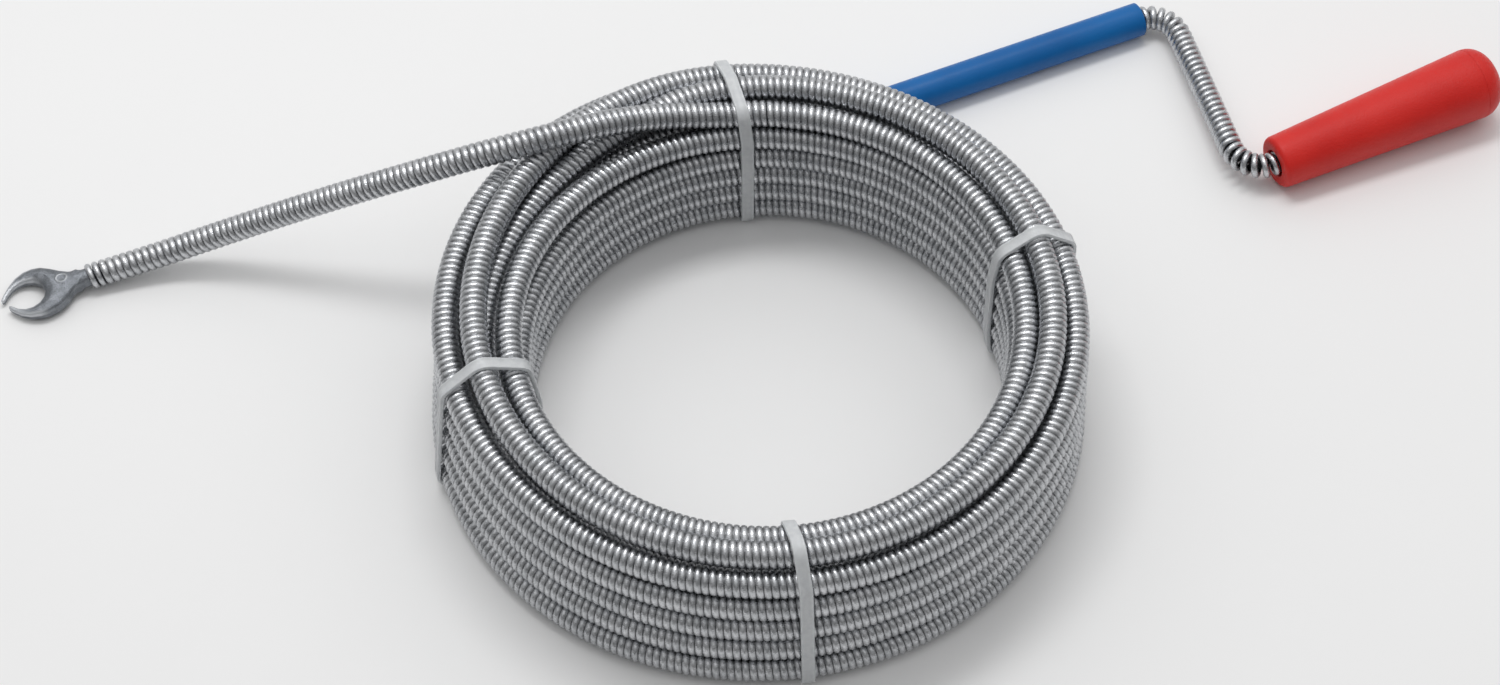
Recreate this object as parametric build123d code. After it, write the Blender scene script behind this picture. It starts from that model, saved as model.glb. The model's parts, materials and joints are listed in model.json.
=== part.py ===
from build123d import *
import math
import os

# Hand drain snake, at rest on the floor. Millimetres, +Z up.
# The origin is the coil's centre on the floor. The claw points to -X, the crank and handle to +X.

# Spring: one close-wound steel coil. It is drawn out a little along the crank, and so thinner.
SPRING_D = 9.0
SPRING_BORE_D = 4.2
CRANK_SPRING_D = 8.6

# Tied coil: its section in (radius, height), a hull round three columns of turns.
TURN_R = SPRING_D / 2
CHANNEL_GAP = 0.15
COIL_INNER_R = 73.3
COIL_OUTER_R = 106.0
COIL_BOTTOM_Z = 1.3
COIL_TOP_Z = 59.6
COIL_SECTION = [
    (COIL_INNER_R, COIL_BOTTOM_Z),
    (COIL_OUTER_R, COIL_BOTTOM_Z),
    (COIL_OUTER_R, 50.0),
    (93.8, COIL_TOP_Z),
    (86.6, COIL_TOP_Z),
    (75.6, 51.5),
]

# Route of the free tail, from the coil's top inner turn over the other turns and down to the claw.
TAIL_ROUTE = [
    (3.0, 82.6, 50.0),
    (-14.0, 82.0, 50.6),
    (-30.0, 79.9, 52.6),
    (-45.0, 75.2, 57.2),
    (-60.0, 68.6, 61.0),
    (-77.0, 62.6, 61.4),
    (-96.0, 59.6, 56.8),
    (-117.0, 59.2, 47.8),
    (-140.0, 59.8, 36.6),
    (-164.0, 60.2, 24.4),
    (-186.0, 59.8, 13.6),
    (-205.0, 57.0, 6.8),
    (-226.9, 49.9, 4.6),
]

# Route of the crank end, from inside the handle through both bends and the sleeve to the coil.
CRANK_ROUTE = [
    (229.8, 120.2, 11.85),
    (170.3, 93.0, 9.0),
    (161.4, 97.2, 8.6),
    (143.9, 159.0, 6.4),
    (134.9, 163.2, 6.0),
    (10.0, 109.0, 6.0),
    (-22.0, 96.0, 6.0),
]

# Handle: a tapered grip with a through bore, closed by a domed cap, lying on its side.
# Its axis is the route's first run, and lengths along it are from the grip's small face.
GRIP_FACE_FROM_BEND = 3.5
GRIP_LENGTH = 77.5
GRIP_SMALL_R = 9.1
GRIP_LARGE_R = 12.5
GRIP_BORE_R = 4.8
GRIP_CAVITY_R = 8.0
GRIP_CAVITY_START = 50.0
GRIP_EDGE_R = 2.0
CAP_DOME = 8.0
CAP_DOME_EDGE_R = 7.8
CAP_SPIGOT_R = 7.9
CAP_SPIGOT_LENGTH = 6.0
FERRULE_R = 6.2
FERRULE_LENGTH = 10.0
FERRULE_END = 62.0
WASHER_R = 7.4
WASHER_THICKNESS = 1.2
WASHER_BORE_R = 4.6

# Guide sleeve: a loose plastic tube round the spring, between the coil and the crank.
SLEEVE_END_FROM_BEND = 3.4
SLEEVE_LENGTH = 126.0
SLEEVE_OUTER_R = 6.0
SLEEVE_INNER_R = 5.0

# Claw: a flat casting with two hooked prongs. Outlines are in the claw's own frame: u runs from
# the spring's end towards the prongs, v across the jaw, and the thickness is across both.
CLAW_THICKNESS = 6.4
NECK_R = 3.6
NECK_TIP_R = 2.6
NECK_LENGTH = 10.0
SHANK_R = SPRING_BORE_D / 2
SHANK_LENGTH = 10.0
JAW_CENTRE = (20.6, 0.3)
JAW_R = 9.7
GAPE_CENTRE = (22.6, 0.4)
GAPE_R = 6.1
CLAW_BODY = [
    (3.0, -3.4),
    (7.0, -3.9),
    (11.0, -5.6),
    (16.0, -8.9),
    (16.0, 8.9),
    (11.6, 8.0),
    (8.5, 6.0),
    (6.0, 4.0),
    (3.0, 3.4),
]
CLAW_MOUTH = [GAPE_CENTRE, (33.0, -1.8), (33.0, 3.6)]
CLAW_SIDE = [(2.0, -3.3), (15.0, -3.2), (31.0, -1.6), (31.0, 1.6), (15.0, 3.2), (2.0, 3.3)]

# Cable ties: a flat strap round the coil's section and a ratchet head on a hidden wall.
STRAP_WIDTH = 4.2
STRAP_THICKNESS = 1.2
STRAP_GAP = 0.1
HEAD_SIZE = (5.2, 7.6, 7.0)
HEAD_EDGE_R = 0.8
HEAD_Z = 6.5
TIES = {
    "cable_tie_back": (97.0, "outer"),
    "cable_tie_left": (195.0, "inner"),
    "cable_tie_front": (276.0, "inner"),
    "cable_tie_right": (17.5, "outer"),
}


def corner_radii(points):
    """Radius of each corner: 0.45 of its shorter run over the tangent of half its turn."""
    radii = []
    for before, at, after in zip(points, points[1:], points[2:]):
        run_in = Vector(*at) - Vector(*before)
        run_out = Vector(*after) - Vector(*at)
        half_turn = math.radians(run_in.get_angle(run_out)) / 2
        radii.append(0.45 * min(run_in.length, run_out.length) / math.tan(half_turn))
    return radii


def route_path(points):
    """Straight runs joined by tangent arcs."""
    return FilletPolyline(*points, radius=corner_radii(points))


def route_tube(points, diameter):
    """Solid round tube along a route."""
    path = route_path(points)
    return sweep(Plane(origin=path @ 0, z_dir=path % 0) * Circle(diameter / 2), path=path)


def report_tube(name, points, diameter, tube):
    """Print a tube's corner radii, and its volume against its section times its length."""
    length = route_path(points).length
    section = math.pi * diameter**2 / 4
    print(name, "radii", [round(radius, 1) for radius in corner_radii(points)])
    print(name, "length", round(length, 1), "volume", round(tube.volume), "of", round(section * length))


def coil_face(margin):
    """The coil's outline in the XZ plane, moved outward by margin."""
    outline = FilletPolyline(*COIL_SECTION, radius=TURN_R, close=True)
    if margin:
        outline = offset(outline, margin)
    return Plane.XZ * make_face(outline)


def spring_coil():
    """Outer shape of the tied turns, with a channel where each free end leaves it."""
    channel_d = SPRING_D + 2 * CHANNEL_GAP
    channels = route_tube(TAIL_ROUTE, channel_d) + route_tube(CRANK_ROUTE[::-1], channel_d)
    return revolve(coil_face(0), axis=Axis.Z) - channels


def spring_tail():
    """Free end of the spring, with its bore open at the claw."""
    tube = route_tube(TAIL_ROUTE, SPRING_D)
    report_tube("spring_tail", TAIL_ROUTE, SPRING_D, tube)
    return tube - claw_place() * shank()


def spring_crank():
    """Lead, both crank bends and the end inside the handle, all of the one spring."""
    tube = route_tube(CRANK_ROUTE, CRANK_SPRING_D)
    report_tube("spring_crank", CRANK_ROUTE, CRANK_SPRING_D, tube)
    return tube


def claw_place():
    """Frame at the tail's end, with X along the claw and the jaw lying flat."""
    end = Vector(*TAIL_ROUTE[-1])
    heading = end - Vector(*TAIL_ROUTE[-2])
    side = heading.cross(Vector(0, 0, 1))
    return Plane(origin=end, x_dir=heading, z_dir=side.cross(heading))


def shank():
    """Round shank that the spring's bore grips."""
    return Pos(-SHANK_LENGTH / 2, 0, 0) * Rot(0, 90, 0) * Cylinder(SHANK_R, SHANK_LENGTH)


def claw_head():
    """Casting with two hooked prongs round an open gape, a neck and a shank for the bore."""
    body = make_face(Polyline(*CLAW_BODY, close=True))
    mouth = make_face(Polyline(*CLAW_MOUTH, close=True))
    jaw = Pos(*JAW_CENTRE) * Circle(JAW_R)
    gape = Pos(*GAPE_CENTRE) * Circle(GAPE_R)
    blank = extrude(body + jaw - gape - mouth, amount=CLAW_THICKNESS / 2, both=True)
    side = make_face(Polyline(*CLAW_SIDE, close=True))
    taper = extrude(Plane.XZ * side, amount=2 * JAW_R, both=True)
    neck = Rot(0, 90, 0) * Cone(NECK_R, NECK_TIP_R, NECK_LENGTH)
    flat = (blank & taper) + Pos(NECK_LENGTH / 2, 0, 0) * neck + shank()
    return claw_place() * flat


def cable_tie(angle_deg, head_side):
    """Strap round the coil with a flat underside on the floor, and its ratchet head."""
    outer = coil_face(STRAP_GAP + STRAP_THICKNESS)
    inner = coil_face(STRAP_GAP)
    strap = extrude(outer, amount=STRAP_WIDTH / 2, both=True)
    strap -= extrude(inner, amount=STRAP_WIDTH, both=True)
    reach = STRAP_GAP + HEAD_SIZE[0] / 2
    head_r = COIL_OUTER_R + reach if head_side == "outer" else COIL_INNER_R - reach
    block = Box(*HEAD_SIZE)
    head = Pos(head_r, 0, HEAD_Z) * fillet(block.edges(), radius=HEAD_EDGE_R)
    return Rot(0, 0, angle_deg) * (strap + head)


def along_run(run_start, run_end, distance):
    """Frame on a run of the crank's route, with +Z along it, at a distance from its start."""
    start = Vector(*CRANK_ROUTE[run_start])
    heading = (Vector(*CRANK_ROUTE[run_end]) - start).normalized()
    return Plane(origin=start + heading * distance, z_dir=heading)


def on_handle(shape):
    """Move a shape modelled along +Z onto the handle's axis."""
    return along_run(1, 0, GRIP_FACE_FROM_BEND) * shape


def handle_grip():
    """Tapered grip: a bore for the spring, then a wider cavity for the ferrule, open at the cap."""
    profile = Polyline(
        (GRIP_BORE_R, 0),
        (GRIP_SMALL_R, 0),
        (GRIP_LARGE_R, GRIP_LENGTH),
        (GRIP_CAVITY_R, GRIP_LENGTH),
        (GRIP_CAVITY_R, GRIP_CAVITY_START),
        (GRIP_BORE_R, GRIP_CAVITY_START),
        close=True,
    )
    grip = revolve(Plane.XZ * make_face(profile), axis=Axis.Z)
    face_edges = grip.edges().filter_by(GeomType.CIRCLE).group_by(Axis.Z)[0]
    nose = face_edges.sort_by(SortBy.RADIUS)[-1]
    return on_handle(fillet(nose, radius=GRIP_EDGE_R))


def handle_end_cap():
    """Domed plug that closes the cavity behind the ferrule."""
    dome = Pos(0, 0, GRIP_LENGTH + CAP_DOME / 2) * Cylinder(GRIP_LARGE_R, CAP_DOME)
    dome = fillet(dome.edges().group_by(Axis.Z)[-1], radius=CAP_DOME_EDGE_R)
    spigot = Cylinder(CAP_SPIGOT_R, CAP_SPIGOT_LENGTH)
    return on_handle(dome + Pos(0, 0, GRIP_LENGTH - CAP_SPIGOT_LENGTH / 2) * spigot)


def hollow_cylinder(outer_r, inner_r, start, length):
    """Hollow cylinder along +Z from start."""
    return Pos(0, 0, start + length / 2) * (Cylinder(outer_r, length) - Cylinder(inner_r, length))


def retaining_ferrule():
    """Steel ferrule crimped on the spring's end, which keeps the handle on."""
    start = FERRULE_END - FERRULE_LENGTH
    sleeve = hollow_cylinder(FERRULE_R, CRANK_SPRING_D / 2, start, FERRULE_LENGTH)
    return on_handle(sleeve)


def thrust_washer():
    """Washer between the ferrule and the shoulder inside the grip."""
    start = FERRULE_END - FERRULE_LENGTH - WASHER_THICKNESS
    return on_handle(hollow_cylinder(WASHER_R, WASHER_BORE_R, start, WASHER_THICKNESS))


def guide_sleeve():
    """Plastic tube with a running clearance round the spring."""
    sleeve = hollow_cylinder(SLEEVE_OUTER_R, SLEEVE_INNER_R, 0, SLEEVE_LENGTH)
    return along_run(4, 5, SLEEVE_END_FROM_BEND) * sleeve


NODES = {
    "spring_coil": spring_coil,
    "spring_tail": spring_tail,
    "spring_crank": spring_crank,
    "claw_head": claw_head,
    "guide_sleeve": guide_sleeve,
    "handle_grip": handle_grip,
    "handle_end_cap": handle_end_cap,
    "retaining_ferrule": retaining_ferrule,
    "thrust_washer": thrust_washer,
}

os.makedirs("parts", exist_ok=True)
for node, build in NODES.items():
    export_step(build(), f"parts/{node}.step")
for node, (angle_deg, head_side) in TIES.items():
    export_step(cable_tie(angle_deg, head_side), f"parts/{node}.step")
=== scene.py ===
import json
import math

import bmesh
import bpy
import numpy as np
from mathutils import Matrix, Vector


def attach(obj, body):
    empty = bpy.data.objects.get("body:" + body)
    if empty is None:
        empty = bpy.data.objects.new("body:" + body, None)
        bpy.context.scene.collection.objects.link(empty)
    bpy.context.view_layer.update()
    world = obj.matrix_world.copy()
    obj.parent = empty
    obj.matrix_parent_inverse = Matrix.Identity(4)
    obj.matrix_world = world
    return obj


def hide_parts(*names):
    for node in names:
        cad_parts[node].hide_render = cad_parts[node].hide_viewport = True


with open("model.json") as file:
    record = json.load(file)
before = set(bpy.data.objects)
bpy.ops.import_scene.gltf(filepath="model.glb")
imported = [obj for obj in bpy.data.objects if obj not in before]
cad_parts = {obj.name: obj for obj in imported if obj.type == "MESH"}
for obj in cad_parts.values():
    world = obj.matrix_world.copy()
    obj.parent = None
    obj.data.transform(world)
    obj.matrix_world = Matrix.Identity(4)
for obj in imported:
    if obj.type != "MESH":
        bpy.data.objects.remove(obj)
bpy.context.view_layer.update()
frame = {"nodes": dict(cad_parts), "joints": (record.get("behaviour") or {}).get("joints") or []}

# Hand drain snake, at rest on the floor. Metres, +Z up, in the CAD model's frame.
MM = 0.001

# Spring: round wire wound close. On the crank the winding is a little thinner and its wire is
# drawn thicker than the coil's, so its windings run slightly into one another.
SPRING_R = 4.5 * MM
CRANK_SPRING_R = 4.3 * MM
WIRE_D = 2.2 * MM
CRANK_WIRE_D = 2.5 * MM
WIRE_GAP = 0.01 * MM
# The windings part on bends, up to a limit, and are drawn out along the crank and near the
# claw. The shares are of the close pitch, and the fades are metres from that end of the line.
MOST_OPENING = 0.20
CRANK_DRAWN, CRANK_DRAWN_UNTIL = 0.10, (0.16, 0.20)
TAIL_DRAWN, TAIL_DRAWN_FROM = 0.09, (0.19, 0.11)

# One rib of the wound surface: places along the pitch, how far each lies below the crest in mm,
# and how much painted shade darkens it, fully in the groove.
RIB_PLACES = np.array([0.0, 0.13, 0.5, 0.87])
RIB_DROPS = np.array([0.90, 0.24, 0.0, 0.24])
RIB_SHADE = np.array([1.0, 0.18, 0.0, 0.18])

# Crank end of the route: inside the handle, both bends, the sleeve and the lead to the coil.
# The first run has one more point, beside its bend.
CRANK_ROUTE = [
    (229.8, 120.2, 11.85),
    (178.5, 96.7, 9.4),
    (169.0, 92.4, 9.0),
    (160.6, 97.0, 8.6),
    (157.9, 107.0, 8.3),
    (146.6, 150.0, 6.7),
    (143.9, 159.4, 6.4),
    (135.6, 163.5, 6.0),
    (125.0, 158.9, 6.0),
    (75.0, 137.2, 6.0),
    (10.0, 109.0, 6.0),
    (-22.0, 96.0, 6.0),
]

# Free tail, from the coil's top inner turn over the other turns and down to the claw.
TAIL_ROUTE = [
    (-14.0, 82.0, 50.8),
    (-30.0, 79.9, 53.2),
    (-45.0, 75.2, 57.2),
    (-60.0, 68.6, 60.6),
    (-77.0, 62.6, 61.0),
    (-96.0, 59.6, 56.8),
    (-117.0, 59.2, 47.8),
    (-140.0, 59.8, 36.6),
    (-164.0, 60.2, 24.4),
    (-186.0, 59.8, 13.6),
    (-205.0, 57.0, 6.8),
    (-226.9, 49.9, 4.6),
]

# Tied coil: an outer column of turns that rises, one ridge turn, a middle column that falls,
# an inner column that rises, and a last turn that climbs out of it. Radii and heights in mm.
# Swells are places where the turns stand out of round: plan angle, spread and size. The outer
# ones have a size for each turn.
OUTER_Z = [5.8, 16.2, 26.7, 37.1, 47.6]
OUTER_BACK_R = [98.9, 98.8, 98.8, 99.0, 99.5]
OUTER_FRONT_R = [99.6, 97.8, 97.4, 96.9, 95.4]
OUTER_SWELLS = [
    (207, 38, [7.0, 5.6, 3.8, 1.8, 0.0]),
    (168, 26, [4.8, 4.8, 4.8, 4.8, 4.8]),
    (133, 18, [6.5, 6.8, 7.1, 7.4, 7.7]),
    (350, 25, [2.8, 2.24, 1.52, 0.72, 0.0]),
]
RIDGE = (90.3, 55.0)
RIDGE_SWELL = (163, 26, 3.2)
MIDDLE_R, MIDDLE_FRONT_R = 89.8, 89.0
MIDDLE_SWELLS = [(362, 30, 1.2), (163, 26, 2.0)]
MIDDLE_Z = [42.5, 33.4, 24.4, 15.3, 6.3]
INNER_Z = [5.5, 14.6, 23.7, 32.8, 41.9]
INNER_R = [80.7, 80.5, 80.3, 80.1, 80.3]
INNER_SWELL = (365, 28, 2.6)
LAST = (82.7, 50.8)
RIDGE_LEVEL, MIDDLE_LEVEL, INNER_LEVEL, LAST_LEVEL = 5, 6, 11, 16
TURNS = 16
STATIONS = 24
FIRST_STATION = 2
# The route swings out at the back where it climbs to the fifth outer turn.
BACK_SWING = (4 * 360 + 108, 22, 6.0)


def smooth(value, start, end):
    """0 before start, 1 after end, and a smooth step between."""
    t = min(max((value - start) / (end - start), 0), 1)
    return t * t * (3 - 2 * t)


def mix(a, b, t):
    return a + (b - a) * t


def bump(angle, centre, width):
    """A round hump of height 1 at the centre."""
    return math.exp(-(((angle - centre) / width) ** 2))


def swell(angle, place):
    """How far a swell of (angle, spread, size) stands out at an angle."""
    centre, spread, size = place
    return size * bump(angle, centre, spread)


def axis_point(angle, radius, height):
    return (radius * math.cos(math.radians(angle)), radius * math.sin(math.radians(angle)), height)


# ---------------------------------------------------------------- route of the whole spring

# Crossings between levels, in degrees. Each is measured from the turn that it leads into.
CROSSINGS = (
    [(50, 102)] * 3
    + [(75, 145), (116, 152), (106, 132)]
    + [(100, 140)] * 4
    + [(-125, -55)] * 5
    + [(-265, -170)]
)


def resting(level, angle):
    """Radius and height, in mm, that a level of the coil keeps at a plan angle of 90 to 450."""
    front = smooth(0.5 - 0.5 * math.sin(math.radians(angle)), 0.45, 1)
    if level < RIDGE_LEVEL:
        radius = mix(OUTER_BACK_R[level], OUTER_FRONT_R[level], front)
        radius += sum(size[level] * bump(angle, at, spread) for at, spread, size in OUTER_SWELLS)
        return np.array([radius, OUTER_Z[level]])
    if level == RIDGE_LEVEL:
        return np.array([RIDGE[0] + swell(angle, RIDGE_SWELL), RIDGE[1]])
    if level < INNER_LEVEL:
        radius = mix(MIDDLE_R, MIDDLE_FRONT_R, front)
        radius += sum(swell(angle, place) for place in MIDDLE_SWELLS)
        return np.array([radius, MIDDLE_Z[level - MIDDLE_LEVEL]])
    if level < LAST_LEVEL:
        k = level - INNER_LEVEL
        return np.array([INNER_R[k] + swell(angle, INNER_SWELL), INNER_Z[k]])
    return np.array(LAST)


def turn_section(total):
    """Radius and height of the route at a total angle, which starts at 90 on the first turn."""
    angle = 90 + (total - 90) % 360
    section = resting(0, angle)
    for level, (start, end) in enumerate(CROSSINGS):
        turn = 360 * (level + 1)
        step = smooth(total, turn + start, turn + end)
        section = section + step * (resting(level + 1, angle) - resting(level, angle))
    section[0] += swell(total, BACK_SWING)
    return section


def crossing_at(route, angle):
    """Radius and height of a free end where it passes a plan angle."""
    polar = sorted((math.degrees(math.atan2(y, x)), math.hypot(x, y), z) for x, y, z in route)
    angles, radii, heights = zip(*polar)
    return np.array([np.interp(angle, angles, radii), np.interp(angle, angles, heights)])


def settle(sections, obstacles, rounds=60):
    """Push turns that lie closer than a diameter apart, station by station, and smooth them."""
    near, floor = 9.06, 5.8
    for _ in range(rounds):
        for station in range(STATIONS):
            here = list(range((station - FIRST_STATION) % STATIONS, len(sections), STATIONS))
            for i, a in enumerate(here):
                for b in here[i + 1 :]:
                    gap = sections[b] - sections[a]
                    away = np.hypot(*gap)
                    if away < near:
                        push = 0.5 * (near - away) * gap / max(away, 0.1)
                        sections[a] -= push
                        sections[b] += push
                for fixed in obstacles.get(station, []):
                    gap = sections[a] - fixed
                    away = np.hypot(*gap)
                    if away < near:
                        sections[a] += (near - away) * gap / max(away, 0.1)
        sections[1:-1] = 0.9 * sections[1:-1] + 0.05 * (sections[:-2] + sections[2:])
        sections[:, 1] = np.maximum(sections[:, 1], floor)
    return sections


def coil_route():
    """Route points of the coil's turns, one every 15 degrees."""
    step = 360 / STATIONS
    start = 90 + step * FIRST_STATION
    totals = np.arange(start, 90 + 360 * TURNS + 0.1, step)
    random = np.random.default_rng(7)
    noise = random.normal(0, 1, (len(totals), 2))
    for _ in range(4):
        noise[1:-1] = (noise[:-2] + noise[1:-1] + noise[2:]) / 3
    sections = np.array([turn_section(total) for total in totals]) + noise * (0.45, 0.25)
    obstacles = {
        station: [crossing_at(TAIL_ROUTE, 90 + step * station)] for station in (1, 2, 3, 4)
    }
    for station in (0, 1):
        lead = crossing_at(CRANK_ROUTE[-4:], 90 + step * station)
        obstacles[station] = obstacles.get(station, []) + [lead]
    sections = settle(sections, obstacles)
    return [axis_point(total, radius, z) for total, (radius, z) in zip(totals, sections)]


class Line:
    """The spring's centreline, read from its spline, with frames that don't twist."""

    STEP = 0.4 * MM

    def __init__(self, points):
        raw = self.read(points)
        runs = np.linalg.norm(np.diff(raw, axis=0), axis=1)
        raw = raw[np.concatenate([[True], runs > 1e-9])]
        at = np.concatenate([[0], np.cumsum(np.linalg.norm(np.diff(raw, axis=0), axis=1))])
        self.length = float(at[-1])
        self.s = np.linspace(0, self.length, int(self.length / self.STEP) + 1)
        self.p = np.array([np.interp(self.s, at, raw[:, i]) for i in range(3)]).T
        self.p[2:-2] = (self.p[:-4] + self.p[1:-3] + self.p[2:-2] + self.p[3:-1] + self.p[4:]) / 5
        self.t = np.gradient(self.p, self.s, axis=0)
        self.t /= np.linalg.norm(self.t, axis=1)[:, None]
        self.n = self.carried_normals()
        self.b = np.cross(self.t, self.n)
        bend = np.linalg.norm(np.gradient(self.t, self.s, axis=0), axis=1)
        window = np.ones(15) / 15
        bend = np.convolve(bend, window, mode="same")
        opening = 1 - np.minimum(bend * (SPRING_R - WIRE_D / 2), MOST_OPENING)
        drawn = np.array([self.drawn_out(s) for s in self.s])
        turns_per_m = opening / (WIRE_D + WIRE_GAP) / drawn
        self.phase = np.concatenate([[0], np.cumsum(0.5 * (turns_per_m[1:] + turns_per_m[:-1]))])
        self.phase *= 2 * math.pi * (self.s[1] - self.s[0])

    def drawn_out(self, s):
        """How many times the close pitch the winding is drawn out to, bends apart."""
        crank = 1 - smooth(s, *CRANK_DRAWN_UNTIL)
        tail = smooth(s, *(self.length - left for left in TAIL_DRAWN_FROM))
        return 1 + CRANK_DRAWN * crank + TAIL_DRAWN * tail

    @staticmethod
    def read(points):
        curve = bpy.data.curves.new("route", "CURVE")
        curve.dimensions = "3D"
        spline = curve.splines.new("NURBS")
        spline.points.add(len(points) - 1)
        for point, co in zip(spline.points, points):
            point.co = (*(c * MM for c in co), 1)
        spline.order_u = 3
        spline.use_endpoint_u = True
        spline.resolution_u = 16
        carrier = bpy.data.objects.new("route", curve)
        mesh = bpy.data.meshes.new_from_object(carrier)
        found = np.array([v.co for v in mesh.vertices], float)
        bpy.data.objects.remove(carrier)
        bpy.data.meshes.remove(mesh)
        bpy.data.curves.remove(curve)
        return found

    def carried_normals(self):
        normals = np.zeros_like(self.p)
        normal = np.cross(self.t[0], (0, 0, 1))
        for i, tangent in enumerate(self.t):
            normal = normal - tangent * normal.dot(tangent)
            normal /= np.linalg.norm(normal)
            normals[i] = normal
        return normals

    def at(self, phase):
        """Point, normal and binormal where the winding has turned by phase."""
        s = np.interp(phase, self.phase, self.s)
        return [
            np.array([np.interp(s, self.s, part[:, i]) for i in range(3)]).T
            for part in (self.p, self.n, self.b)
        ]

    def phase_at(self, s):
        return float(np.interp(s, self.s, self.phase))

    def nearest(self, point, after=0.0):
        """Distance along the line where it first comes nearest to a point in mm."""
        apart = np.linalg.norm(self.p - np.array(point) * MM, axis=1)
        apart[self.s < after] = 1e9
        return float(self.s[int(np.argmin(apart))])

    def path(self, start, end, every=3.0 * MM):
        count = max(8, int((end - start) / every))
        s = np.linspace(start, end, count + 1)
        return np.array([np.interp(s, self.s, self.p[:, i]) for i in range(3)]).T


# ---------------------------------------------------------------- mesh helpers

def new_piece(name, verts, faces, material):
    mesh = bpy.data.meshes.new(name)
    mesh.from_pydata([tuple(v) for v in verts], [], [tuple(f) for f in faces])
    mesh.validate()
    obj = bpy.data.objects.new(name, mesh)
    bpy.context.scene.collection.objects.link(obj)
    obj.data.materials.append(material)
    mesh.polygons.foreach_set("use_smooth", [True] * len(mesh.polygons))
    return obj


def mark(obj, name, values):
    """Store one number per vertex for the material."""
    layer = obj.data.attributes.new(name, "FLOAT", "POINT")
    layer.data.foreach_set("value", np.asarray(values, np.float32))


def apply_modifiers(obj):
    graph = bpy.context.evaluated_depsgraph_get()
    mesh = bpy.data.meshes.new_from_object(obj.evaluated_get(graph))
    old = obj.data
    obj.modifiers.clear()
    obj.data = mesh
    bpy.data.meshes.remove(old)


def wound_surface(name, line, start, end, material, sides=14):
    """Outer surface of close-wound wire: one strip that runs round the spring, rib by rib."""
    first = int(line.phase_at(start) / (2 * math.pi) * sides)
    last = int(line.phase_at(end) / (2 * math.pi) * sides)
    count = last - first + 1 + sides
    turned = 2 * math.pi * (first + np.arange(count)) / sides
    verts = np.zeros((count, 4, 3))
    for k in range(4):
        p, n, b = line.at(turned + 2 * math.pi * (RIB_PLACES[k] - 0.5))
        out = np.cos(turned)[:, None] * n + np.sin(turned)[:, None] * b
        verts[:, k] = p + (SPRING_R - RIB_DROPS[k] * MM) * out
    faces = []
    for j in range(last - first):
        a, c = 4 * j, 4 * (j + 1)
        faces += [(a + k, a + k + 1, c + k + 1, c + k) for k in range(3)]
        faces.append((a + 3, a + 4 * sides, c + 4 * sides, c + 3))
    obj = new_piece(name, verts.reshape(-1, 3), faces, material)
    # Painted shade in each groove between turns, for the material.
    mark(obj, "groove_shade", np.tile(RIB_SHADE, count))
    return obj


def wound_wire(name, line, start, end, radius, wire, material, per_turn=20, sides=10):
    """Round wire wound along the line, with both its ends cut square."""
    first, last = line.phase_at(start), line.phase_at(end)
    count = int((last - first) / (2 * math.pi) * per_turn) + 1
    turned = np.linspace(first, last, count)
    p, n, b = line.at(turned)
    out = np.cos(turned)[:, None] * n + np.sin(turned)[:, None] * b
    centre = p + (radius - wire / 2) * out
    along = np.gradient(centre, axis=0)
    along /= np.linalg.norm(along, axis=1)[:, None]
    out -= along * np.sum(out * along, axis=1)[:, None]
    out /= np.linalg.norm(out, axis=1)[:, None]
    across = np.cross(along, out)
    rings = []
    for k in range(sides):
        a = 2 * math.pi * k / sides
        rings.append(centre + wire / 2 * (math.cos(a) * out + math.sin(a) * across))
    verts = np.stack(rings, axis=1)
    faces = [tuple(range(sides))[::-1], tuple((count - 1) * sides + k for k in range(sides))]
    for j in range(count - 1):
        for k in range(sides):
            a, c = j * sides + k, j * sides + (k + 1) % sides
            faces.append((a, c, c + sides, a + sides))
    obj = new_piece(name, verts.reshape(-1, 3), faces, material)
    # Painted shade on the half of the wire that faces into the spring.
    inward_shade = [0.5 - 0.5 * math.cos(2 * math.pi * k / sides) for k in range(sides)]
    mark(obj, "groove_shade", np.tile(inward_shade, count))
    return obj


def lathe(name, profile, origin, axis, material, segments=96):
    """Turn a closed (distance, radius) outline in mm about an axis."""
    z = Vector(axis).normalized()
    x = z.orthogonal().normalized()
    y = z.cross(x)
    verts, faces = [], []
    for i in range(segments):
        a = 2 * math.pi * i / segments
        out = x * math.cos(a) + y * math.sin(a)
        verts += [Vector(origin) + (z * along + out * radius) * MM for along, radius in profile]
    rows = len(profile)
    for i in range(segments):
        for k in range(rows):
            a, b = i * rows + k, i * rows + (k + 1) % rows
            c, d = ((i + 1) % segments) * rows + k, ((i + 1) % segments) * rows + (k + 1) % rows
            faces.append((a, c, d, b))
    obj = new_piece(name, verts, faces, material)
    tidy(obj)
    return obj


def tidy(obj, merge=0.02 * MM, sharp=math.radians(35)):
    """Merge doubled points, point faces outward and keep real edges crisp."""
    mesh = bmesh.new()
    mesh.from_mesh(obj.data)
    bmesh.ops.remove_doubles(mesh, verts=mesh.verts, dist=merge)
    bmesh.ops.recalc_face_normals(mesh, faces=mesh.faces)
    for edge in mesh.edges:
        if len(edge.link_faces) == 2 and edge.calc_face_angle(0) > sharp:
            edge.smooth = False
    mesh.to_mesh(obj.data)
    mesh.free()


def arc(centre, radius, start, end, count):
    """Points of an arc in (distance, radius) outlines, angles in degrees."""
    return [
        (
            centre[0] + radius * math.cos(math.radians(mix(start, end, i / count))),
            centre[1] + radius * math.sin(math.radians(mix(start, end, i / count))),
        )
        for i in range(count + 1)
    ]


# ---------------------------------------------------------------- materials

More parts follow.
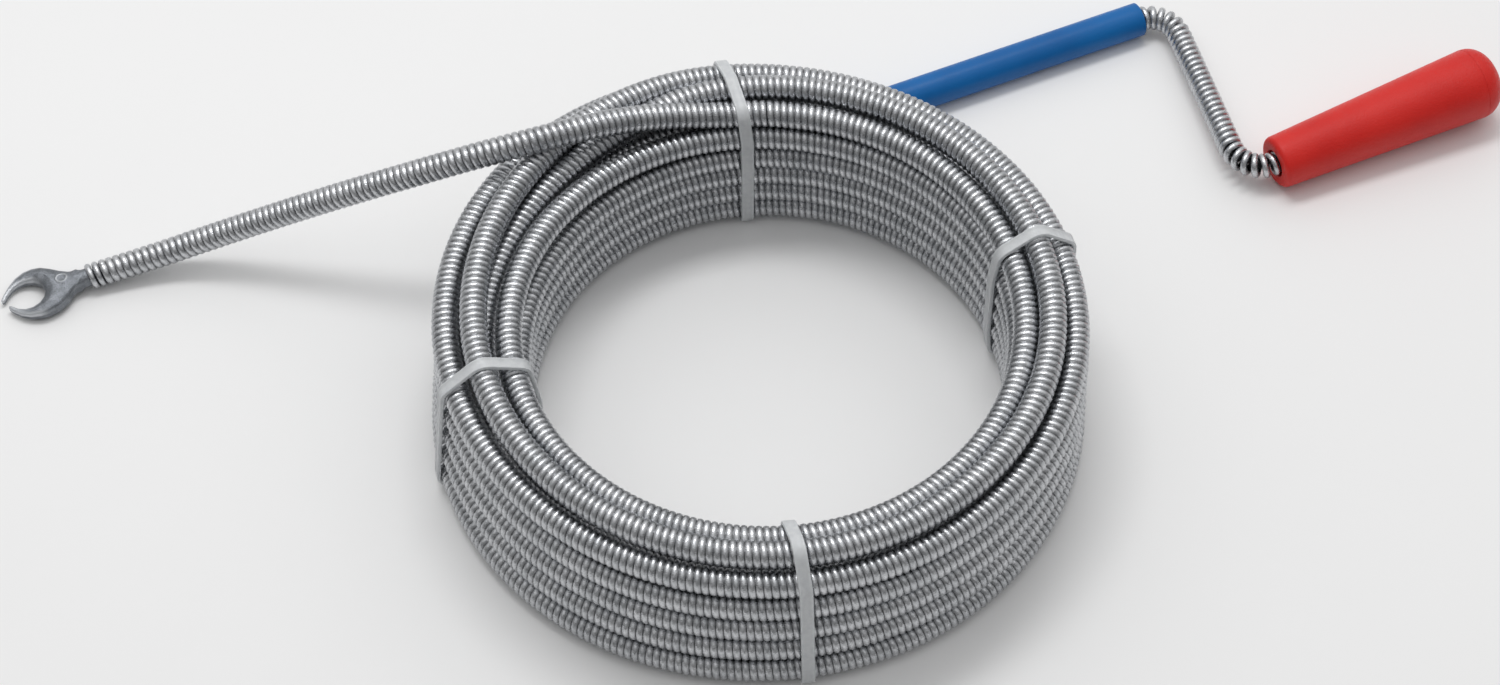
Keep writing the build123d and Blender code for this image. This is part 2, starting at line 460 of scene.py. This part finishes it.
class Nodes:
    """A principled material with object coordinates, and short calls to add nodes to it."""

    def __init__(self, name, **uniform):
        self.material = bpy.data.materials.new(name)
        self.material.use_nodes = True
        self.tree = self.material.node_tree
        self.shader = self.tree.nodes["Principled BSDF"]
        for socket, value in uniform.items():
            self.shader.inputs[socket.replace("_", " ")].default_value = value
        self.where = self.add("ShaderNodeTexCoord").outputs["Object"]

    def add(self, kind, **sockets):
        node = self.tree.nodes.new(kind)
        for socket, value in sockets.items():
            self.put(node.inputs[socket.replace("_", " ")], value)
        return node

    def put(self, socket, value):
        if isinstance(value, bpy.types.NodeSocket):
            self.tree.links.new(value, socket)
        else:
            socket.default_value = value

    def noise(self, scale, detail=3.0, low=0.0, high=1.0):
        """Noise of a scale per metre, spread to run from low to high."""
        node = self.add("ShaderNodeTexNoise", Vector=self.where, Scale=scale, Detail=detail)
        spread = self.add("ShaderNodeMapRange", Value=node.outputs["Fac"])
        limits = {"From Min": 0.3, "From Max": 0.7, "To Min": low, "To Max": high}
        for socket, value in limits.items():
            spread.inputs[socket].default_value = value
        return spread.outputs["Result"]

    def blend(self, factor, a, b):
        node = self.add("ShaderNodeMix")
        node.data_type = "RGBA"
        colours = [socket for socket in node.inputs if socket.type == "RGBA"]
        self.put(node.inputs[0], factor)
        for socket, value in zip(colours, (a, b)):
            self.put(socket, value if isinstance(value, bpy.types.NodeSocket) else (*value, 1))
        return [socket for socket in node.outputs if socket.type == "RGBA"][0]

    def relief(self, height, distance, strength=1.0):
        node = self.add("ShaderNodeBump", Height=height)
        node.inputs["Distance"].default_value = distance
        node.inputs["Strength"].default_value = strength
        self.put(self.shader.inputs["Normal"], node.outputs["Normal"])

    def colour(self, value):
        self.put(self.shader.inputs["Base Color"], value)

    def roughness(self, value):
        self.put(self.shader.inputs["Roughness"], value)


def zinc_wire_material():
    """Bright zinc on steel wire: pale zinc with painted shade in the grooves between turns, drawn
    scratches, dull patches.
    """
    m = Nodes("zinc_wire", Metallic=1.0)
    groove_shade = m.add("ShaderNodeAttribute")
    groove_shade.attribute_name = "groove_shade"
    bright = m.blend(m.noise(140, 4), (0.52, 0.535, 0.555), (0.68, 0.69, 0.71))
    spotted = m.blend(m.noise(1900, 3, -0.9, 0.55), bright, (0.32, 0.33, 0.35))
    # Painted shade: the groove mark darkens the colour almost to black in the grooves and on the
    # inward side of the wire.
    m.colour(m.blend(groove_shade.outputs["Fac"], spotted, (0.04, 0.04, 0.045)))
    m.roughness(m.noise(900, 4, 0.20, 0.38))
    m.relief(m.noise(2600, 4), 0.00008, 0.5)
    return m.material


def plain_zinc_material():
    """The same plating on turned pieces, which have no grooves between turns."""
    m = Nodes("zinc_plate", Metallic=1.0)
    m.colour(m.blend(m.noise(300, 4), (0.46, 0.47, 0.49), (0.64, 0.65, 0.67)))
    m.roughness(m.noise(900, 4, 0.24, 0.42))
    m.relief(m.noise(2400, 4), 0.00006, 0.5)
    return m.material


def cast_zinc_material():
    """Tumbled zinc casting: bluish grey, finely pitted, with a painted highlight along the top
    edges of the prongs and on the boss ring.
    """
    m = Nodes("cast_zinc", Metallic=0.9)
    edge = m.add("ShaderNodeAttribute")
    edge.attribute_name = "edge"
    skin = m.blend(m.noise(420, 5), (0.18, 0.193, 0.212), (0.30, 0.318, 0.345))
    pitted = m.blend(m.noise(3200, 3, -0.6, 0.8), skin, (0.10, 0.108, 0.12))
    # Painted highlight: pale zinc colour where the edge mark is high, on the prongs' top edges and
    # the boss ring.
    m.colour(m.blend(edge.outputs["Fac"], pitted, (0.62, 0.64, 0.67)))
    m.roughness(m.noise(1500, 4, 0.27, 0.42))
    m.relief(m.noise(2600, 5), 0.00020, 0.55)
    return m.material


def red_plastic_material():
    """Moulded grip: satin red with a fine sparked grain and slight flow marks along it."""
    m = Nodes("red_plastic", Specular_IOR_Level=0.32, Coat_Weight=0.05, Coat_Roughness=0.3)
    m.colour(m.blend(m.noise(60, 3), (0.60, 0.012, 0.008), (0.67, 0.018, 0.012)))
    m.roughness(m.noise(2400, 3, 0.34, 0.50))
    m.relief(m.noise(2100, 4), 0.00014, 0.6)
    return m.material


def blue_plastic_material():
    """Extruded sleeve: smooth satin blue with faint draw lines and scuffs."""
    m = Nodes("blue_plastic", Specular_IOR_Level=0.3)
    m.colour(m.blend(m.noise(45, 3), (0.000, 0.100, 0.330), (0.001, 0.125, 0.390)))
    m.roughness(m.noise(700, 4, 0.30, 0.46))
    m.relief(m.noise(900, 4), 0.00005, 0.5)
    return m.material


def nylon_material():
    """Natural nylon: milky, part see-through, brighter where it is thick."""
    m = Nodes("clear_nylon", Transmission_Weight=0.3, IOR=1.5, Specular_IOR_Level=0.5)
    m.colour(m.blend(m.noise(500, 3), (0.76, 0.78, 0.80), (0.86, 0.88, 0.89)))
    m.roughness(m.noise(1400, 3, 0.32, 0.50))
    m.relief(m.noise(1500, 3), 0.00006, 0.4)
    return m.material


def floor_material():
    m = Nodes("floor", Specular_IOR_Level=0.2)
    m.colour(m.blend(m.noise(3, 2), (0.86, 0.86, 0.86), (0.88, 0.88, 0.88)))
    m.roughness(m.noise(40, 2, 0.6, 0.7))
    return m.material


ZINC_WIRE = zinc_wire_material()
ZINC_PLATE = plain_zinc_material()
CAST_ZINC = cast_zinc_material()
RED_PLASTIC = red_plastic_material()
BLUE_PLASTIC = blue_plastic_material()
NYLON = nylon_material()


# ---------------------------------------------------------------- the spring

def spring_pieces():
    """One wound spring in six: crank end, three runs of the coil, free tail and its cut end."""
    coil = coil_route()
    line = Line(CRANK_ROUTE + coil + TAIL_ROUTE)
    # The crank's winding is a little thinner, and it changes to the coil's size under the turns.
    lead_end = line.nearest(coil[1])
    last_turn = line.nearest(coil[-1], after=line.length * 0.6)
    around = np.unwrap(np.arctan2(line.p[:, 1], line.p[:, 0]))
    base = around[int(np.argmin(np.abs(line.s - lead_end)))]

    def after_turns(count):
        return float(line.s[int(np.argmax(around > base + 2 * math.pi * count))])

    crank = wound_wire(
        "spring_crank_wire", line, 0, lead_end, CRANK_SPRING_R, CRANK_WIRE_D, ZINC_WIRE
    )
    pieces = [(crank, 0, lead_end)]
    cuts = [lead_end, after_turns(5.0), after_turns(10.4), last_turn]
    names = ["spring_outer_turns", "spring_middle_turns", "spring_inner_turns"]
    for name, start, end in zip(names, cuts, cuts[1:]):
        pieces.append((wound_surface(name, line, start, end, ZINC_WIRE), start, end))
    # The last windings are real wire, up to its cut end. The tail's strip runs a little into them.
    tail_end, wire_start = line.length - 4 * MM, line.length - 5.5 * MM
    tail = wound_surface("spring_tail_turns", line, last_turn, tail_end, ZINC_WIRE, 16)
    pieces.append((tail, last_turn, tail_end))
    cut_end = wound_wire(
        "spring_cut_end", line, wire_start, line.length, SPRING_R + 0.04 * MM, WIRE_D, ZINC_WIRE
    )
    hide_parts("spring_tail")
    for obj in [cut_end] + [obj for obj, _, _ in pieces]:
        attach(obj, "snake")
    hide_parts("spring_crank")
    for obj, _, _ in pieces[1:4]:
        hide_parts("spring_coil")
    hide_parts("spring_tail")
    return line, pieces, cut_end


# ---------------------------------------------------------------- claw

CLAW_OUTLINE = [
    (0.2, -3.0), (3.5, -3.0), (6.5, -3.5), (10.0, -5.0), (12.8, -6.9), (16.0, -8.7),
    (19.0, -9.4), (22.2, -9.2), (25.2, -7.9), (28.0, -5.5), (30.2, -2.7), (31.3, -1.0),
    (31.2, -0.2), (30.4, -0.2), (28.9, -2.1), (27.0, -3.9), (24.8, -4.9), (22.2, -5.2),
    (19.6, -4.5), (17.5, -2.9), (16.4, -0.8), (16.2, 1.4), (17.1, 3.5), (18.9, 5.1),
    (21.3, 5.9), (23.9, 5.7), (26.3, 4.5), (28.4, 2.5), (29.2, 2.2), (29.4, 3.0),
    (28.1, 5.0), (25.8, 7.3), (23.0, 9.0), (19.8, 9.9), (16.8, 9.9), (13.6, 9.1),
    (11.3, 7.9), (9.2, 6.5), (7.4, 4.9), (5.5, 3.8), (3.2, 3.1), (0.2, 3.0),
]
CLAW_HALF = 3.2
# Round bars of the casting: start, end, and the radius at each. The shank sits in the bore.
NECK = (-0.4, 8.0, 3.15, 2.8)
SHANK = (-9.0, 0.5, 2.22, 2.22)
# Plain ring boss on the claw's face: its place, how far it is drawn along and across, and its
# radius, width of rim and height.
BOSS_AT, BOSS_OVAL = (9.6, -0.8), (1.15, 0.9)
BOSS_R, BOSS_RIM, BOSS_HEIGHT = 1.8, 0.3, 0.32


def claw_frame():
    """The claw's own axes at the spring's end: along it, across the jaw, and through it."""
    end, before = (Vector(TAIL_ROUTE[i]) for i in (-1, -2))
    along = (end - before).normalized()
    across = along.cross(Vector((0, 0, 1))).normalized()
    return end * MM, along, -across, across.cross(along)


def blank():
    """Closed flat blank with the claw's outline, its rims rounded over."""
    mesh = bmesh.new()
    face = mesh.faces.new([mesh.verts.new((u, v, -CLAW_HALF)) for u, v in CLAW_OUTLINE])
    top = bmesh.ops.extrude_face_region(mesh, geom=[face])
    for vert in (g for g in top["geom"] if isinstance(g, bmesh.types.BMVert)):
        vert.co.z = CLAW_HALF
    bmesh.ops.recalc_face_normals(mesh, faces=mesh.faces)
    rims = [e for e in mesh.edges if abs(e.verts[0].co.z - e.verts[1].co.z) < 0.1]
    round_over(mesh, rims, 0.42 * CLAW_HALF, 3)
    return mesh


def round_over(mesh, edges, offset, segments):
    """Round over some edges of a mesh."""
    bmesh.ops.bevel(
        mesh,
        geom=edges,
        offset=offset,
        segments=segments,
        profile=0.5,
        affect="EDGES",
        clamp_overlap=True,
    )


def add_round(mesh, start, end, start_r, end_r):
    """Add a round bar along the claw to the mesh."""
    made = bmesh.ops.create_cone(
        mesh,
        radius1=start_r,
        radius2=end_r,
        depth=end - start,
        cap_ends=True,
        cap_tris=False,
        segments=40,
    )
    for vert in made["verts"]:
        x, y, z = vert.co
        vert.co = ((start + end) / 2 + z, y, -x)


def depth_in(places):
    """How far places on the claw are in from its outline, in mm."""
    start = np.array(CLAW_OUTLINE)
    run = np.roll(start, -1, axis=0) - start
    away = np.full(len(places), np.inf)
    for a, d in zip(start, run):
        along = np.clip((places - a) @ d / (d @ d), 0, 1)
        away = np.minimum(away, np.linalg.norm(places - a - along[:, None] * d, axis=1))
    return away


def sculpt(u, v, w, depth):
    """Where a place on the blank moves to, and how strong the painted highlight on it is, from 0 to
    1.
    """
    oval = math.hypot((u - BOSS_AT[0]) / BOSS_OVAL[0], (v - BOSS_AT[1]) / BOSS_OVAL[1])
    ring = bump(oval, BOSS_R, BOSS_RIM) if w > 1 else 0
    # Painted highlight along the top side of the prongs' edges and on the boss ring.
    edge_highlight = smooth(1.4 - depth, 0, 1.0) * smooth(w, 0, 1.2) * smooth(u, 15, 21)
    # The prongs get thinner towards their tips, and everything is crowned past the neck.
    w *= mix(1.0, 0.5, smooth(u, 14, 31))
    crown = mix(0.5, 1.0, min(depth / 3, 1) ** 0.5)
    w *= mix(1, crown, smooth(u, 2, 6))
    # The neck is squeezed round. Past it the limit grows beyond the claw's half width.
    round_r = mix(NECK[2], 12, smooth(u, 2, 12))
    squeeze = min(round_r / max(math.hypot(v, w), 0.1), 1)
    v, w = v * squeeze, w * squeeze
    return u - smooth(u, 4, 12), v, w + BOSS_HEIGHT * ring, min(0.7 * ring + 0.9 * edge_highlight, 1)


def casting():
    """The claw's blank, neck and shank in one closed skin, in mm on the claw's own axes."""
    mesh = blank()
    for bar in (NECK, SHANK):
        add_round(mesh, *bar)
    data = bpy.data.meshes.new("claw")
    mesh.to_mesh(data)
    mesh.free()
    obj = bpy.data.objects.new("claw_casting", data)
    bpy.context.scene.collection.objects.link(obj)
    remesh = obj.modifiers.new("cast", "REMESH")
    remesh.mode = "VOXEL"
    remesh.voxel_size = 0.22
    soften = obj.modifiers.new("soften", "SMOOTH")
    soften.factor, soften.iterations = 0.5, 5
    apply_modifiers(obj)
    return obj


def claw_piece():
    """Casting with two hooked prongs, a round neck, a shank in the bore and a plain ring boss."""
    obj = casting()
    origin, along, across, up = claw_frame()
    edges = []
    places = [tuple(vert.co) for vert in obj.data.vertices]
    depths = depth_in(np.array(places)[:, :2])
    for vert, place, depth in zip(obj.data.vertices, places, depths):
        u, v, w, bright = sculpt(*place, depth)
        vert.co = origin + (along * u + across * v + up * w) * MM
        edges.append(bright)
    obj.data.materials.append(CAST_ZINC)
    obj.data.polygons.foreach_set("use_smooth", [True] * len(obj.data.polygons))
    # The painted highlight, stored for the material.
    mark(obj, "edge", edges)
    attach(obj, "snake")
    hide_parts("claw_head")
    return obj


# ---------------------------------------------------------------- sleeve and handle

def joint_axis(name):
    joint = next(j for j in frame["joints"] if j["name"] == name)
    return joint["pos_m"], joint["axis"]


def sleeve_piece():
    """Extruded tube with cut ends, a little rounded, and a wall 1 mm thick."""
    length, outer, inner, lip = 126.0, 6.0, 5.0, 0.28
    profile = arc((lip, inner + lip), lip, 270, 180, 4) + arc((lip, outer - lip), lip, 180, 90, 4)
    profile += [(length * k / 40, outer) for k in range(1, 40)]
    profile += arc((length - lip, outer - lip), lip, 90, 0, 4)
    profile += arc((length - lip, inner + lip), lip, 0, -90, 4)
    profile += [(length * k / 20, inner) for k in range(19, 0, -1)]
    obj = lathe("guide_sleeve_tube", profile, *joint_axis("sleeve_spin"), BLUE_PLASTIC)
    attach(obj, "sleeve")
    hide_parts("guide_sleeve")
    return obj


def handle_pieces():
    """Tapered grip with a rolled nose round its bore, and the domed cap that closes it."""
    length, small, large, bore, cavity, cavity_start = 77.5, 9.1, 12.5, 4.8, 8.0, 50.0
    nose, dome, crown, spigot = 2.0, 8.0, 7.8, 7.9
    profile = arc((0.5, bore + 0.5), 0.5, 270, 180, 4)
    profile += arc((nose, small - nose + 0.1), nose, 180, 97, 9)
    profile += [(mix(nose, length, k / 28), mix(small + 0.09, large, k / 28)) for k in range(1, 28)]
    profile += arc((length - 0.12, large - 0.1), 0.1, 90, 0, 3)
    profile += [(length - 0.02, cavity), (cavity_start, cavity), (cavity_start, bore)]
    grip = lathe("handle_grip_shell", profile, *joint_axis("handle_spin"), RED_PLASTIC)
    profile = [(length - 6.0, 0.01), (length - 6.0, spigot - 0.3), (length - 5.7, spigot)]
    profile.append((length, spigot))
    profile += arc((length + 0.1, large - 0.1), 0.1, 180, 90, 3)
    profile += arc((length + dome - crown, large - crown), crown, 89, 6, 18)
    profile += [(length + dome + 0.05, 2.4), (length + dome + 0.1, 0.01)]
    cap = lathe("handle_cap_dome", profile, *joint_axis("handle_spin"), RED_PLASTIC)
    for obj, node in ((grip, "handle_grip"), (cap, "handle_end_cap")):
        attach(obj, "handle")
        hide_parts(node)


# ---------------------------------------------------------------- cable ties

STRAP_WIDTH = 4.2
STRAP_THICKNESS = 1.2
HEAD_Z = 6.5
# Plan angle, the side that the head is on, and how far the strap leans over the bundle.
TIES = {
    "back": (97.0, "outer", 2.8),
    "left": (195.0, "inner", 0.8),
    "front": (276.0, "inner", 2.0),
    "right": (17.5, "outer", 0.8),
}


def bundle_at(line, angle):
    """Radius and height in mm of every turn of the bundle at a plan angle."""
    x, y, z = (line.p / MM).T
    across = y * math.cos(math.radians(angle)) - x * math.sin(math.radians(angle))
    out = x * math.cos(math.radians(angle)) + y * math.sin(math.radians(angle))
    hits = np.nonzero((across[:-1] * across[1:] <= 0) & (out[:-1] > 60) & (out[:-1] < 120))[0]
    return [(out[i], z[i]) for i in hits]


def hull(points):
    """Convex outline of points, counter-clockwise."""
    points = sorted(set(points))

    def half(points):
        chain = []
        for p in points:
            while len(chain) > 1:
                (ax, ay), (bx, by) = chain[-2:]
                if (bx - ax) * (p[1] - ay) - (by - ay) * (p[0] - ax) > 0:
                    break
                chain.pop()
            chain.append(p)
        return chain[:-1]

    return half(points) + half(points[::-1])


def strap_loop(line, angle, spacing=0.35):
    """Taut loop round the bundle: evenly spaced points and their outward directions, in mm."""
    reach = SPRING_R / MM + 0.12
    around = [2 * math.pi * k / 48 for k in range(48)]
    rim = [
        (round(r + reach * math.cos(a), 4), round(max(z + reach * math.sin(a), 1.25), 4))
        for r, z in bundle_at(line, angle)
        for a in around
    ]
    corners = np.array(hull(rim))
    corners = np.vstack([corners, corners[:1]])
    at = np.concatenate([[0], np.cumsum(np.linalg.norm(np.diff(corners, axis=0), axis=1))])
    count = 2 * int(at[-1] / spacing / 2)
    even = np.arange(count) * at[-1] / count
    loop = np.array([np.interp(even, at, corners[:, i]) for i in range(2)]).T
    ahead = np.roll(loop, -3, axis=0) - np.roll(loop, 3, axis=0)
    ahead /= np.linalg.norm(ahead, axis=1)[:, None]
    return loop, np.array([ahead[:, 1], -ahead[:, 0]]).T


# Ratchet head in mm, outward, across and up: its block, and the cut strap end that stands on it.
HEAD_SIZE = (5.2, 7.6, 7.0)
STUB_SIZE, STUB_AT = (1.1, 4.5, 3.4), (0.5, 0.0, 3.6)


def tie_head(out, up, across, place):
    """Ratchet head: a block with soft corners, a strap slot through it and the cut strap end."""
    mesh = bmesh.new()
    bmesh.ops.create_cube(mesh, size=1)
    for vert in mesh.verts:
        vert.co = [c * size for c, size in zip(vert.co, HEAD_SIZE)]
    round_over(mesh, mesh.edges[:], 0.8, 3)
    for side in (1, -1):
        end = max(mesh.faces, key=lambda f: side * f.normal.z * f.calc_area())
        bmesh.ops.inset_individual(mesh, faces=[end], thickness=0.55, depth=0)
        bmesh.ops.inset_individual(mesh, faces=[end], thickness=0.2, depth=-1.6)
    stub = bmesh.ops.create_cube(mesh, size=1)["verts"]
    for vert in stub:
        vert.co = [c * size + at for c, size, at in zip(vert.co, STUB_SIZE, STUB_AT)]
    round_over(mesh, list({e for v in stub for e in v.link_edges}), 0.2, 2)
    mesh.verts.index_update()
    verts = [place + (out * v.co.x + across * v.co.y + up * v.co.z) * MM for v in mesh.verts]
    faces = [[v.index for v in f.verts] for f in mesh.faces]
    mesh.free()
    return verts, faces


def tie_piece(name, line, angle, head_side, lean):
    """Strap drawn tight round the bundle, serrated across, with its ratchet head."""
    out = Vector(axis_point(angle, 1, 0))
    across = Vector((-out.y, out.x, 0))
    up = Vector((0, 0, 1))
    half, thick = STRAP_WIDTH / 2, STRAP_THICKNESS
    loop, facing = strap_loop(line, angle)
    verts, faces = [], []
    for i, ((r, z), (dr, dz)) in enumerate(zip(loop, facing)):
        rib = thick - (0.16 if i % 2 else 0.0)
        section = [
            (-half + 0.2, 0), (-half, 0.15), (-half, thick - 0.3), (-half + 0.25, thick),
            (-half + 0.75, thick), (-half + 0.85, rib), (half - 0.85, rib), (half - 0.75, thick),
            (half - 0.25, thick), (half, thick - 0.3), (half, 0.15), (half - 0.2, 0),
        ]
        for side, height in section:
            rise = max(z + dz * height, 0.0)
            shift = side + lean * (r - 90) / 15
            verts.append((out * (r + dr * height) + across * shift + up * rise) * MM)
    rows, count = 12, len(loop)
    for i in range(count):
        for k in range(rows):
            a, b = i * rows + k, i * rows + (k + 1) % rows
            c, d = ((i + 1) % count) * rows + k, ((i + 1) % count) * rows + (k + 1) % rows
            faces.append((a, b, d, c))
    side = 1 if head_side == "outer" else -1
    level = [r for r, z in loop if abs(z - HEAD_Z) < 2.5]
    wall = max(level) if side > 0 else min(level)
    place = (out * (wall + side * 2.4) + across * lean * (wall - 90) / 15 + up * HEAD_Z) * MM
    head_verts, head_faces = tie_head(out * side, up, across, place)
    faces += [[i + len(verts) for i in face] for face in head_faces]
    obj = new_piece(f"tie_strap_{name}", verts + head_verts, faces, NYLON)
    tidy(obj, sharp=math.radians(50))
    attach(obj, "snake")
    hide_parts(f"cable_tie_{name}")
    return obj


# ---------------------------------------------------------------- studio

def area_light(name, place, target, size, power):
    light = bpy.data.lights.new(name, "AREA")
    light.shape = "RECTANGLE"
    light.size, light.size_y = size
    light.energy = power
    obj = bpy.data.objects.new(name, light)
    obj.location = place
    obj.rotation_euler = (Vector(target) - Vector(place)).to_track_quat("-Z", "Y").to_euler()
    bpy.context.scene.collection.objects.link(obj)


def surround():
    """Studio dome: bright overhead and towards the back, and dim in front and near the horizon."""
    world = bpy.data.worlds.new("surround")
    world.use_nodes = True
    tree = world.node_tree
    where = tree.nodes.new("ShaderNodeTexCoord")
    lean = tree.nodes.new("ShaderNodeVectorMath")
    lean.operation = "DOT_PRODUCT"
    lean.inputs[1].default_value = (0.0, 0.35, 0.80)
    level = tree.nodes.new("ShaderNodeMapRange")
    level.interpolation_type = "SMOOTHSTEP"
    limits = {"From Min": 0.10, "From Max": 0.85, "To Min": 0.22, "To Max": 0.95}
    for socket, value in limits.items():
        level.inputs[socket].default_value = value
    tree.nodes["Background"].inputs["Color"].default_value = (1, 1, 1, 1)
    tree.links.new(where.outputs["Generated"], lean.inputs[0])
    tree.links.new(lean.outputs["Value"], level.inputs["Value"])
    tree.links.new(level.outputs["Result"], tree.nodes["Background"].inputs["Strength"])
    bpy.context.scene.world = world


def studio():
    """Pale floor and one overhead softbox towards the back, under a soft dome."""
    floor = new_piece(
        "floor", [(-9, -9, 0), (9, -9, 0), (9, 9, 0), (-9, 9, 0)], [(0, 1, 2, 3)], floor_material()
    )
    area_light("overhead", (-0.12, 0.42, 1.25), (0, 0, 0), (0.8, 0.28), 6)
    surround()


def camera():
    data = bpy.data.cameras.new("camera")
    data.lens = 78.41
    data.sensor_width = 36.0
    data.sensor_fit = "HORIZONTAL"
    data.shift_x = -0.01117
    data.shift_y = 0.01485
    data.clip_start = 0.02
    obj = bpy.data.objects.new("camera", data)
    elevation, distance = math.radians(55.427), 1.05
    obj.location = (0, -distance * math.cos(elevation), 0.025 + distance * math.sin(elevation))
    obj.rotation_euler = (math.pi / 2 - elevation, 0, 0)
    bpy.context.scene.collection.objects.link(obj)
    bpy.context.scene.camera = obj


# ---------------------------------------------------------------- the whole object

def main():
    bpy.context.scene.view_settings.view_transform = "Standard"
    line, spring, cut_end = spring_pieces()
    claw = claw_piece()
    sleeve_piece()
    handle_pieces()
    for name, (angle, head_side, lean) in TIES.items():
        tie_piece(name, line, angle, head_side, lean)
    for node in ("retaining_ferrule", "thrust_washer"):
        frame["nodes"][node].data.materials.clear()
        frame["nodes"][node].data.materials.append(ZINC_PLATE)
    for obj, start, end in spring:
        path = line.path(start, end)
    studio()
    camera()


main()
